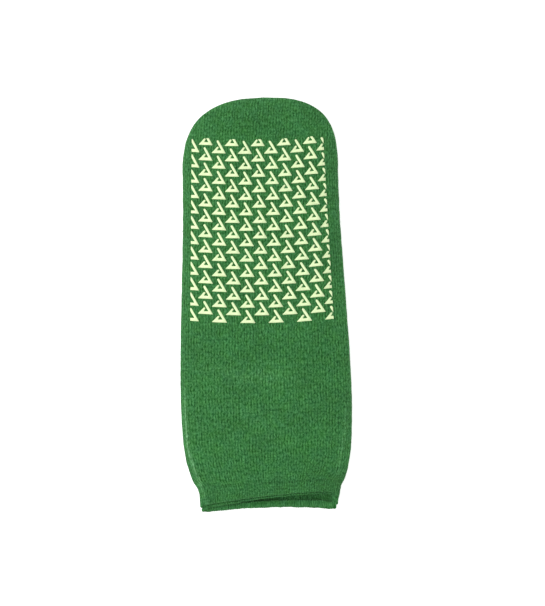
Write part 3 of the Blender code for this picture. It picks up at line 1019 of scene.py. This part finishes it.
def stitch_tree():
    """A stitch every so far along a path, turned with it and underneath it."""
    tree, add, given = new_tree("stitches_along_path", {"Stitch": "Object", "Pitch": "Float"})
    curve = add("GeometryNodeMeshToCurve", {"Mesh": given["Geometry"]})
    points = add("GeometryNodeCurveToPoints", {"Curve": curve, "Length": given["Pitch"]}, mode="LENGTH")
    tangent = {"Vector": points.outputs["Tangent"]}
    along = add("FunctionNodeAlignRotationToVector", tangent, axis="Y", pivot_axis="Z")
    turn = {"Rotation": along, "Rotate By": (0.0, math.pi, 0.0)}
    under = add("FunctionNodeRotateRotation", turn, rotation_space="LOCAL")
    stitch = add("GeometryNodeObjectInfo", {"Object": given["Stitch"]}).outputs["Geometry"]
    placed = add("GeometryNodeInstanceOnPoints", {"Points": points, "Instance": stitch, "Rotation": under})
    return end_tree(tree, add, given, placed)


def strew_tree():
    """A small shape strewn over the faces of one finish, leaning and turned each its own way."""
    sockets = {"Shape": "Object", "Finish": "Int", "Seed": "Int"}
    for name in ("From Y", "To Y", "Density", "Least Lean", "Most Lean", "Least Size", "Most Size"):
        sockets[name] = "Float"
    tree, add, given = new_tree("strewn_shapes", sockets)
    finish = add("GeometryNodeInputMaterialIndex")
    right_side = add(
        "FunctionNodeCompare", {2: finish, 3: given["Finish"]}, data_type="INT", operation="EQUAL"
    )
    parts = add("ShaderNodeSeparateXYZ", {0: add("GeometryNodeInputPosition")})
    past = add("FunctionNodeCompare", {0: parts.outputs["Y"], 1: given["From Y"]}, operation="GREATER_THAN")
    short = add("FunctionNodeCompare", {0: parts.outputs["Y"], 1: given["To Y"]}, operation="LESS_THAN")
    between = add("FunctionNodeBooleanMath", {0: past, 1: short}, operation="AND")
    chosen = add("FunctionNodeBooleanMath", {0: between, 1: right_side}, operation="AND")
    inputs = {"Mesh": given["Geometry"], "Selection": chosen}
    inputs |= {"Density": given["Density"], "Seed": given["Seed"]}
    spots = add("GeometryNodeDistributePointsOnFaces", inputs)
    least = add("ShaderNodeCombineXYZ", {"X": given["Least Lean"]})
    most = add("ShaderNodeCombineXYZ", {"X": given["Most Lean"]})
    lean = add("FunctionNodeRandomValue", {0: least, 1: most, "Seed": 3}, data_type="FLOAT_VECTOR")
    whole_turn = {0: (0.0, 0.0, 0.0), 1: (0.0, 0.0, 2 * math.pi), "Seed": 4}
    turn = add("FunctionNodeRandomValue", whole_turn, data_type="FLOAT_VECTOR")
    size = add(
        "FunctionNodeRandomValue",
        {2: given["Least Size"], 3: given["Most Size"], "Seed": 5},
        data_type="FLOAT",
    )
    rotation = spots.outputs["Rotation"]
    for by in (turn, lean):
        inputs = {"Rotation": rotation, "Rotate By": by}
        rotation = add("FunctionNodeRotateRotation", inputs, rotation_space="LOCAL")
    shape = add("GeometryNodeObjectInfo", {"Object": given["Shape"]}).outputs["Geometry"]
    inputs = {"Points": spots, "Instance": shape, "Rotation": rotation, "Scale": size.outputs[1]}
    return end_tree(tree, add, given, add("GeometryNodeInstanceOnPoints", inputs))


def strew(name, mesh, source, values):
    """Strew a small mesh over another piece, above the floor, as a piece of its own."""
    shape = add_object(mesh.name, mesh)
    values = {"Shape": shape, **values}
    thing = bake_tree(name, strew_tree(), values, bpy.data.objects[source].data)
    bpy.data.objects.remove(shape, do_unlink=True)
    for vert in thing.data.vertices:
        vert.co.z = max(vert.co.z, 0.0)
    finish_piece(thing, "knit")


def seam_points(sizes, steps):
    """The toe seam's path under the knitting, at a steady distance inside the toe's outline."""
    reach = sizes.toe_reach - SEAM_INSET
    left = 1.0 - (SEAM_END - SEAM_INSET) / reach
    last = math.acos(left ** (TOE_SHARPNESS / 2.0))
    half = sizes.foot_width / 2 - SEAM_INSET
    points = []
    for step in range(steps + 1):
        angle = last * (2 * step / steps - 1)
        across = half * math.copysign(abs(math.sin(angle)) ** (2.0 / TOE_FULLNESS), angle)
        from_toe = SEAM_INSET + reach * (1.0 - math.cos(angle) ** (2.0 / TOE_SHARPNESS))
        x = across + shape_at(sizes, from_toe).middle
        z = surface_height(sizes, x, from_toe, False)[1]
        points.append(Vector((x, CAD_HIGH[1] - from_toe, z)))
    return points


def drop_specks(bm, least_x):
    """Remove the loose bits that lie wholly to the left of a place, too small to hold."""
    seen, doomed = set(), []
    for start in bm.verts:
        if start in seen:
            continue
        seen.add(start)
        island = [start]
        for vert in island:
            for edge in vert.link_edges:
                other = edge.other_vert(vert)
                if other not in seen:
                    seen.add(other)
                    island.append(other)
        if max(vert.co.x for vert in island) < least_x:
            doomed += island
    bmesh.ops.delete(bm, geom=doomed, context="VERTS")


def cut_print(bm, half, edge):
    """Cut the marks off along the print's two sides and its edge at the toe, and close them."""
    cuts = (((half, 0, 0), (1, 0, 0)), ((-half, 0, 0), (-1, 0, 0)), ((0, edge, 0), (0, 1, 0)))
    for point, normal in cuts:
        geom = bm.verts[:] + bm.edges[:] + bm.faces[:]
        cut = bmesh.ops.bisect_plane(
            bm, geom=geom, dist=1e-6, plane_co=point, plane_no=normal, clear_outer=True
        )
        edges = [item for item in cut["geom_cut"] if isinstance(item, bmesh.types.BMEdge)]
        bmesh.ops.holes_fill(bm, edges=edges, sides=0)
    drop_specks(bm, 1 * MM - half)


def lay_print(bm, sizes, looks, top):
    """Lay flat marks, whose z is the share of their height, on the upper or the lower skin."""
    points = np.array([vert.co[:] for vert in bm.verts])
    shares = points[:, 2].copy()
    shapes = []
    for i, (x, y, _) in enumerate(points):
        shape, points[i, 2] = surface_height(sizes, x, CAD_HIGH[1] - y, top)
        shapes.append(shape)
    if top:
        folds = np.array([shape.fold for shape in shapes])
        rises = np.array([shape.rise for shape in shapes])
        points = soften(points, folds, rises)
    for vert, point, share in zip(bm.verts, points, shares):
        if top:
            swell = 0.12 * MM * noise.noise(Vector((point[0], point[1], 5.0)) * per_metre(3.0))
            vert.co = point
            vert.co.z = point[2] - PRINT_SINK + share * (looks.height + PRINT_SINK + swell)
        else:
            vert.co.z = max(point[2] + PRINT_SINK - share * (STANDOFF + PRINT_SINK), 0.0)


def build_print(name, scene, top):
    """Marks of one face, cut at the print's borders and laid on the knitting."""
    looks = scene.print_looks
    mark = add_object("grip_mark", mark_mesh())
    values = {
        "Mark": mark,
        "Columns": looks.columns,
        "Rows": looks.rows + 1,
        "Column Pitch": looks.column_pitch,
        "Row Pitch": looks.row_pitch,
        "Material": get_material(scene, "cured_plastisol_print"),
    }
    thing = bake_tree(name, mark_tree(), values)
    bpy.data.objects.remove(mark, do_unlink=True)
    edge_from_toe = looks.top_from_toe if top else looks.floor_from_toe
    first_base = edge_from_toe + looks.row_pitch * (looks.rows - 0.05)
    bm = bmesh.new()
    bm.from_mesh(thing.data)
    for vert in bm.verts:
        vert.co.y += CAD_HIGH[1] - first_base
    cut_print(bm, looks.half_width, CAD_HIGH[1] - edge_from_toe)
    for vert in bm.verts:
        place = Vector((vert.co.x, vert.co.y, 0.0)) * per_metre(1.6)
        sway = Vector((noise.noise(place), noise.noise(place + Vector((0.0, 0.0, 9.4)))))
        share = vert.co.x / looks.half_width
        spread = 1.0 + looks.fan * (CAD_HIGH[1] - vert.co.y - FAN_START) / FAN_REACH
        vert.co.x = vert.co.x * spread + sway.x * MARK_SWAY - looks.shift
        vert.co.y += looks.bow * (share**2 - 0.5) - looks.slant * share + sway.y * MARK_SWAY
    lay_print(bm, scene.sock_sizes, looks, top)
    bmesh.ops.recalc_face_normals(bm, faces=bm.faces)
    bm.to_mesh(thing.data)
    bm.free()
    thing.data.shade_smooth()
    thing.data.set_sharp_from_angle(angle=math.radians(75))
    return thing


class SOCK_OT_knit(bpy.types.Operator):
    """Knit the toe, the foot and the leg as one closed wall with a terry inside"""

    bl_idname = "sock.knit"
    bl_label = "Knit Tube"

    def execute(self, context):
        scene = context.scene
        sizes, looks = scene.sock_sizes, scene.knit_looks
        wales, count = looks.wales, looks.wales * PER_WALE
        hem = sizes.length - sizes.welt_length
        end = hem + TUBE_LAP
        places, marks = course_places(sizes, 1.42 * MM, end)
        # Two rings stand close together at the hem, where the tube steps down to run on under it.
        first_sunk = int(np.searchsorted(places, hem - 0.9 * MM))
        for ring, place in ((first_sunk - 1, hem - 1.0 * MM), (first_sunk, hem - 0.7 * MM)):
            marks[ring] += place - places[ring]
            places[ring] = place
        sunk = np.where(np.arange(len(places)) < first_sunk, 0.0, -UNDER_HEM)
        grid = rib_grid(skin_grid(sizes, places, sunk, count), marks, looks, True)
        inner_places, inner_marks = course_places(sizes, 6 * MM, end)
        inner_places = np.maximum(inner_places, sizes.wall * 1.6)
        inner = skin_grid(sizes, inner_places, [-sizes.wall] * len(inner_places), wales)
        rows, inner_rows = len(places), len(inner_places)
        tip = shape_at(sizes, 0.0)
        tips = [(tip.middle, CAD_HIGH[1] - back, tip.fold) for back in (0.0, sizes.wall * 1.05)]
        points = np.concatenate([grid.reshape(-1, 3), inner.reshape(-1, 3), np.array(tips)])
        first_inner = rows * count
        outer_tip = first_inner + inner_rows * wales
        faces = wrap_faces(0, rows, count)
        faces += [(outer_tip, (i + 1) % count, i) for i in range(count)]
        outer_count = len(faces)
        faces += [face[::-1] for face in wrap_faces(first_inner, inner_rows, wales)]
        last_outer, last_inner = (rows - 1) * count, first_inner + (inner_rows - 1) * wales
        for i in range(wales):
            faces.append((outer_tip + 1, first_inner + i, first_inner + (i + 1) % wales))
        for i in range(wales):
            edge = [last_outer + (i * PER_WALE + k) % count for k in range(PER_WALE + 1)]
            faces.append((*edge, last_inner + (i + 1) % wales, last_inner + i))
        names = ("heathered_terry_knit", "uncut_terry_loops")
        materials = [get_material(scene, name) for name in names]
        thing = add_object("knitted_tube", new_mesh("knitted_tube", points, [], faces, materials))
        for polygon in thing.data.polygons[outer_count:]:
            polygon.material_index = 1
        outer_wales = np.tile(np.arange(count) / PER_WALE, rows)
        inner_wales = np.tile(np.arange(wales), inner_rows)
        wale_of = np.concatenate([outer_wales, inner_wales, [wales / 4, wales / 4]])
        outer_courses = np.repeat(marks / looks.course, count)
        inner_courses = np.repeat(inner_marks / looks.course, wales)
        course_of = np.concatenate([outer_courses, inner_courses, [0.0, 0.0]])
        set_courses(thing.data, wale_of, course_of, wales)
        straighten_wales(thing.data, sizes, wales)
        set_crease_lint_and_painted_light(thing.data)
        finish_piece(thing, "knit", "knit_tube")
        return {"FINISHED"}


class SOCK_OT_welt(bpy.types.Operator):
    """Make the turned elastic hem, a closed ring round the end of the tube"""

    bl_idname = "sock.welt"
    bl_label = "Turned Hem"

    def execute(self, context):
        scene = context.scene
        sizes, looks = scene.sock_sizes, scene.knit_looks
        count = looks.wales * PER_WALE
        start, end = sizes.length - sizes.welt_length, sizes.length
        proud, deep = sizes.welt_proud, -WELT_DEPTH
        profile = [(start - 1.5 * MM, -UNDER_HEM), (start - 0.95 * MM, 0.15 * MM)]
        profile.append((start - 0.4 * MM, 0.4 * MM))
        profile += [(place, proud) for place in np.arange(start, end - RIM_OUTSIDE, 1.2 * MM)]
        profile += [(end + back * MM, lift * MM) for back, lift in WELT_RIM]
        profile += [(place, deep) for place in np.arange(end - RIM_INSIDE, start, -1.8 * MM)]
        profile.append((start - 0.6 * MM, deep + 0.4 * MM))
        places, prouds = np.array(profile).T
        grid = skin_grid(sizes, places, prouds, count)
        # The edge turns in less at the side folds, so that the corners keep the hem's outline.
        beyond = np.clip((places - end + 4.5 * MM) / (1.5 * MM), 0.0, 1.0)
        turned_in = beyond * np.clip(-prouds, 0.0, 1.4 * MM)
        across = grid[:, :, 0] - sizes.leg_lean - sizes.cuff_lean
        share = np.abs(across) / np.abs(across).max(axis=1, keepdims=True)
        at_fold = np.clip((share - 0.9) / 0.1, 0.0, 1.0)
        grid[:, :, 0] += 0.7 * turned_in[:, None] * np.sign(across) * at_fold
        near_edge = np.clip((places - end + RIPPLE_REACH) / RIPPLE_REACH, 0.0, 1.0)
        ripple = 0.45 * MM * unevenness(grid[np.argmax(places)], 3.5, 3)
        grid[:, :, 1] += near_edge[:, None] * ripple[None, :]
        marks = arc_lengths(places, prouds) + start
        grid = rib_grid(grid, marks, looks, False)
        rows = len(profile)
        faces = wrap_faces(0, rows, count)
        last = (rows - 1) * count
        faces += [(last + i, last + (i + 1) % count, (i + 1) % count, i) for i in range(count)]
        knit = get_material(scene, "heathered_terry_knit")
        thing = add_object("turned_welt", new_mesh("turned_welt", grid.reshape(-1, 3), [], faces, [knit]))
        wale_of = np.tile(np.arange(count) / PER_WALE, rows)
        set_courses(thing.data, wale_of, np.repeat(marks / looks.course, count), looks.wales)
        set_crease_lint_and_painted_light(thing.data)
        finish_piece(thing, "knit", "knit_tube")
        return {"FINISHED"}


class SOCK_OT_toe_seam(bpy.types.Operator):
    """Close the toe underneath with a ridge and the stitches that link it"""

    bl_idname = "sock.toe_seam"
    bl_label = "Toe Seam"

    def execute(self, context):
        scene = context.scene
        sizes = scene.sock_sizes
        path = seam_points(sizes, SEAM_STEPS)
        rings = []
        for index, point in enumerate(path):
            run = path[min(index + 1, SEAM_STEPS)] - path[max(index - 1, 0)]
            side = Vector((run.y, -run.x, 0.0)).normalized()
            share = min(1.0, 0.3 + min(index, SEAM_STEPS - index) / 4)
            ring = []
            for k in range(SEAM_SIDES):
                turn = 2 * math.pi * k / SEAM_SIDES
                lift = -math.sin(turn) * sizes.seam_height * share
                place = point + side * (math.cos(turn) * sizes.seam_width / 2 * share)
                place.z = max(point.z - SEAM_SINK + min(lift, 0.25 * MM), 0.05 * MM)
                ring.append(place)
            rings.append(ring)
        points, faces = tube_between(rings)
        yarn = get_material(scene, "linked_seam_yarn")
        ridge = add_object("toe_seam_ridge", new_mesh("toe_seam_ridge", points, [], faces, [yarn]))
        finish_piece(ridge, "seam", "toe_seam")
        low = [point - Vector((0.0, 0.0, SEAM_SINK)) for point in path]
        line = new_mesh("seam_line", low, [(i, i + 1) for i in range(SEAM_STEPS)], [])
        width, rise = sizes.seam_width + 0.3 * MM, sizes.seam_height
        mesh = arch_mesh("linking_stitch", width, rise, 0.26 * MM, 8, 5)
        stitch = add_object("linking_stitch", mesh)
        values = {"Stitch": stitch, "Pitch": 1.5 * MM, "Material": yarn}
        stitches = bake_tree("toe_seam_stitches", stitch_tree(), values, line)
        bpy.data.objects.remove(stitch, do_unlink=True)
        for vert in stitches.data.vertices:
            vert.co.z = max(vert.co.z, 0.02 * MM)
        finish_piece(stitches, "seam", "toe_seam")
        return {"FINISHED"}


class SOCK_OT_grip_print(bpy.types.Operator):
    """Print the grip marks on the upper and the lower face"""

    bl_idname = "sock.grip_print"
    bl_label = "Grip Print"

    def execute(self, context):
        for face, top in (("top", True), ("floor", False)):
            thing = build_print("grip_print_" + face, context.scene, top)
            nodes = [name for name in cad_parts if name.startswith("grip_" + face)]
            finish_piece(thing, "grip", *nodes)
        return {"FINISHED"}


class SOCK_OT_fibres(bpy.types.Operator):
    """Strew loose fibres over the knitted tube and the hem, which have to be there"""

    bl_idname = "sock.fibres"
    bl_label = "Loose Fibres"

    def execute(self, context):
        scene = context.scene
        mesh = fibre_mesh(1.7 * MM, 0.035 * MM)
        values = {
            "Finish": 0,
            "From Y": -1.0,
            "To Y": 1.0,
            "Density": float(scene.knit_looks.fibres),
            "Least Lean": 0.7,
            "Most Lean": 1.45,
            "Least Size": 0.5,
            "Most Size": 1.1,
            "Seed": 7,
            "Material": get_material(scene, "loose_cotton_fibre"),
        }
        strew("loose_fibres", mesh, "knitted_tube", values)
        strew("hem_fibres", mesh, "turned_welt", {**values, "Seed": 11})
        return {"FINISHED"}


class SOCK_OT_terry(bpy.types.Operator):
    """Stand the terry's loops up inside the leg, as far in as the mouth lets one see"""

    bl_idname = "sock.terry"
    bl_label = "Terry Loops"

    def execute(self, context):
        scene = context.scene
        looks = scene.knit_looks
        mouth = CAD_LOW[1] + scene.sock_sizes.welt_length + 3 * MM
        values = {
            "Finish": 1,
            "From Y": mouth,
            "To Y": mouth + 45 * MM,
            "Density": float(looks.loops),
            "Least Lean": -0.5,
            "Most Lean": 0.5,
            "Least Size": 0.8,
            "Most Size": 1.15,
            "Seed": 13,
            "Material": get_material(scene, "uncut_terry_loops"),
        }
        mesh = arch_mesh("terry_loop", 0.9 * MM, looks.loop_height, 0.22 * MM, 4, 4)
        strew("terry_loops", mesh, "knitted_tube", values)
        return {"FINISHED"}


class SOCK_OT_stage(bpy.types.Operator):
    """Set the floor, the light and the camera"""

    bl_idname = "sock.stage"
    bl_label = "Stage"

    def execute(self, context):
        scene = context.scene
        studio = scene.studio_looks
        corners = [(-2, -2, 0), (2, -2, 0), (2, 2, 0), (-2, 2, 0)]
        table = new_mesh("light_table", corners, [], [(0, 1, 2, 3)], [make_floor_material()])
        floor = add_object("light_table", table)
        world = bpy.data.worlds.new("soft_studio")
        world.use_nodes = True
        inputs = {"Color": WHITE, "Strength": studio.sky}
        set_inputs(world.node_tree, world.node_tree.nodes["Background"], inputs)
        scene.world = world
        lamp = bpy.data.lights.new("large_softbox", "AREA")
        lamp.shape = "RECTANGLE"
        lamp.size, lamp.size_y = 1.2, 0.8
        lamp.energy = studio.key
        box = add_object("large_softbox", lamp)
        box.location = (-0.95, 0.20, 1.15)
        box.rotation_euler = (-box.location).to_track_quat("-Z", "Y").to_euler()
        camera = bpy.data.cameras.new("overhead_camera")
        camera.type = "PERSP"
        camera.sensor_fit = "VERTICAL"
        camera.sensor_height = SENSOR_HEIGHT
        camera.lens = SENSOR_HEIGHT * studio.camera_height / studio.view_height
        holder = add_object("overhead_camera", camera)
        holder.location = (5.8 * MM, 0.6 * MM, studio.camera_height)
        holder.rotation_euler = (0.0, 0.0, studio.roll)
        scene.camera = holder
        scene.view_settings.view_transform = "Standard"
        return {"FINISHED"}


class SOCK_PT_panel(bpy.types.Panel):
    """Sizes, looks and pieces of the slipper sock"""

    bl_idname = "SOCK_PT_panel"
    bl_label = "Slipper Sock"
    bl_space_type = "VIEW_3D"
    bl_region_type = "UI"
    bl_category = "Slipper Sock"

    def draw(self, context):
        layout = self.layout
        for group in GROUPS:
            owner = getattr(context.scene, group)
            column = layout.column(align=True)
            for name in owner.__annotations__:
                column.prop(owner, name)
        for name in OPERATORS:
            layout.operator(name)


OPERATORS = (
    "sock.knit", "sock.welt", "sock.toe_seam", "sock.grip_print", "sock.fibres", "sock.terry", "sock.stage"
)
GROUPS = {
    "sock_sizes": SockSizes, "knit_looks": KnitLooks, "print_looks": PrintLooks, "studio_looks": StudioLooks
}
CLASSES = (
    *GROUPS.values(),
    SOCK_OT_knit,
    SOCK_OT_welt,
    SOCK_OT_toe_seam,
    SOCK_OT_grip_print,
    SOCK_OT_fibres,
    SOCK_OT_terry,
    SOCK_OT_stage,
    SOCK_PT_panel,
)


def register():
    for kind in CLASSES:
        bpy.utils.register_class(kind)
    for name, kind in GROUPS.items():
        setattr(bpy.types.Scene, name, PointerProperty(type=kind))


def unregister():
    for name in GROUPS:
        delattr(bpy.types.Scene, name)
    for kind in reversed(CLASSES):
        bpy.utils.unregister_class(kind)


def main():
    register()
    bpy.ops.sock.knit()
    bpy.ops.sock.welt()
    bpy.ops.sock.toe_seam()
    bpy.ops.sock.grip_print()
    bpy.ops.sock.fibres()
    bpy.ops.sock.terry()
    bpy.ops.sock.stage()


if __name__ == "__main__":
    main()
